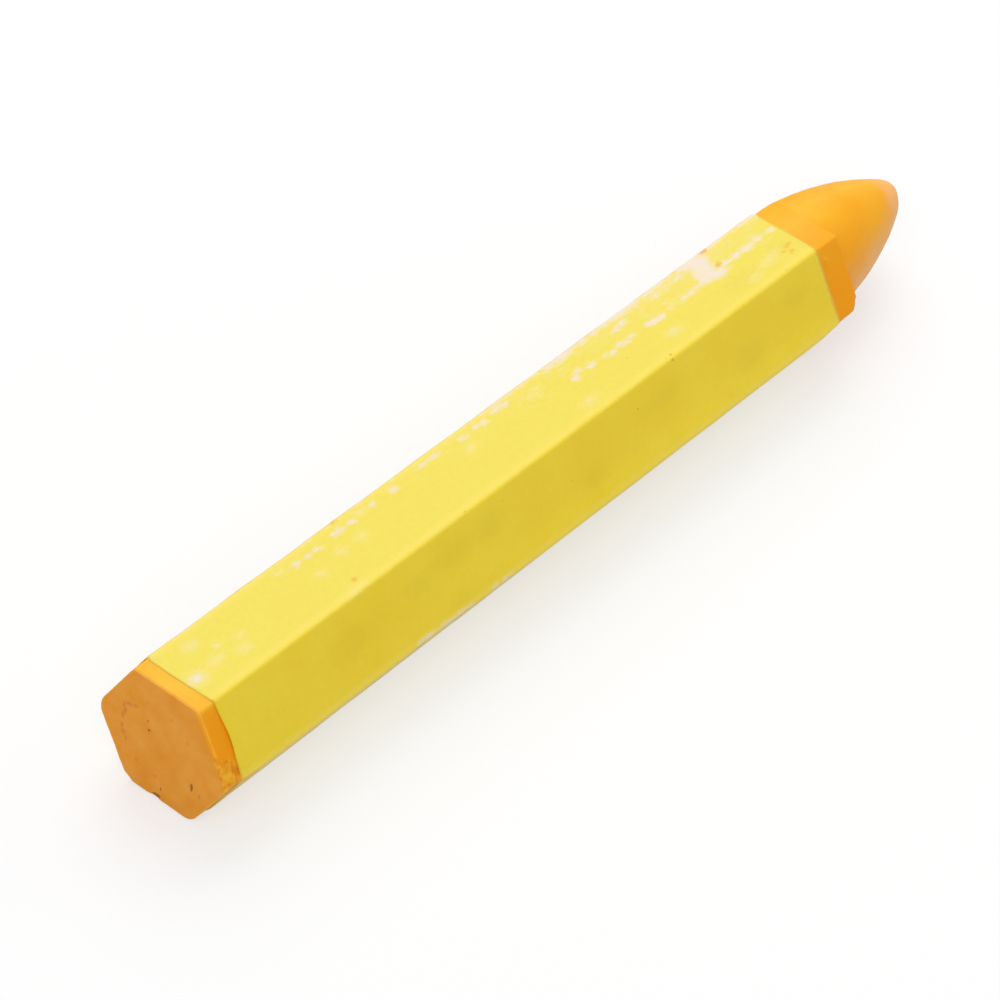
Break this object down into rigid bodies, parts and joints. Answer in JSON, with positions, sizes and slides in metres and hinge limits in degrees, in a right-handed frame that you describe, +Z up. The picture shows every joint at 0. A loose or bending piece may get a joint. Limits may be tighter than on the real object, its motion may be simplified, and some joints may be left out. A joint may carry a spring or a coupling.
{
  "type": "tire marking crayon",
  "caption": "Hexagonal wax marking crayon with a blunt bullet nose, lying in its glued yellow paper sleeve, bare at both ends.",
  "frame": {"origin": "on the resting plane, under the middle of the length and width", "axes": "+X along the crayon from the butt face to the nose, +Z up out of the flat it lies on"},
  "size_m": [0.1208, 0.0174, 0.0153],
  "materials": {
    "wax": "waxy satin, rubbed paler on the nose and edges",
    "sleeve_paper": "thin printed paper, satin, scuffed to pale fibre"
  },
  "bodies": {
    "root": {"crayon_stick": "wax", "paper_sleeve": "sleeve_paper"}
  },
  "joints": []
}
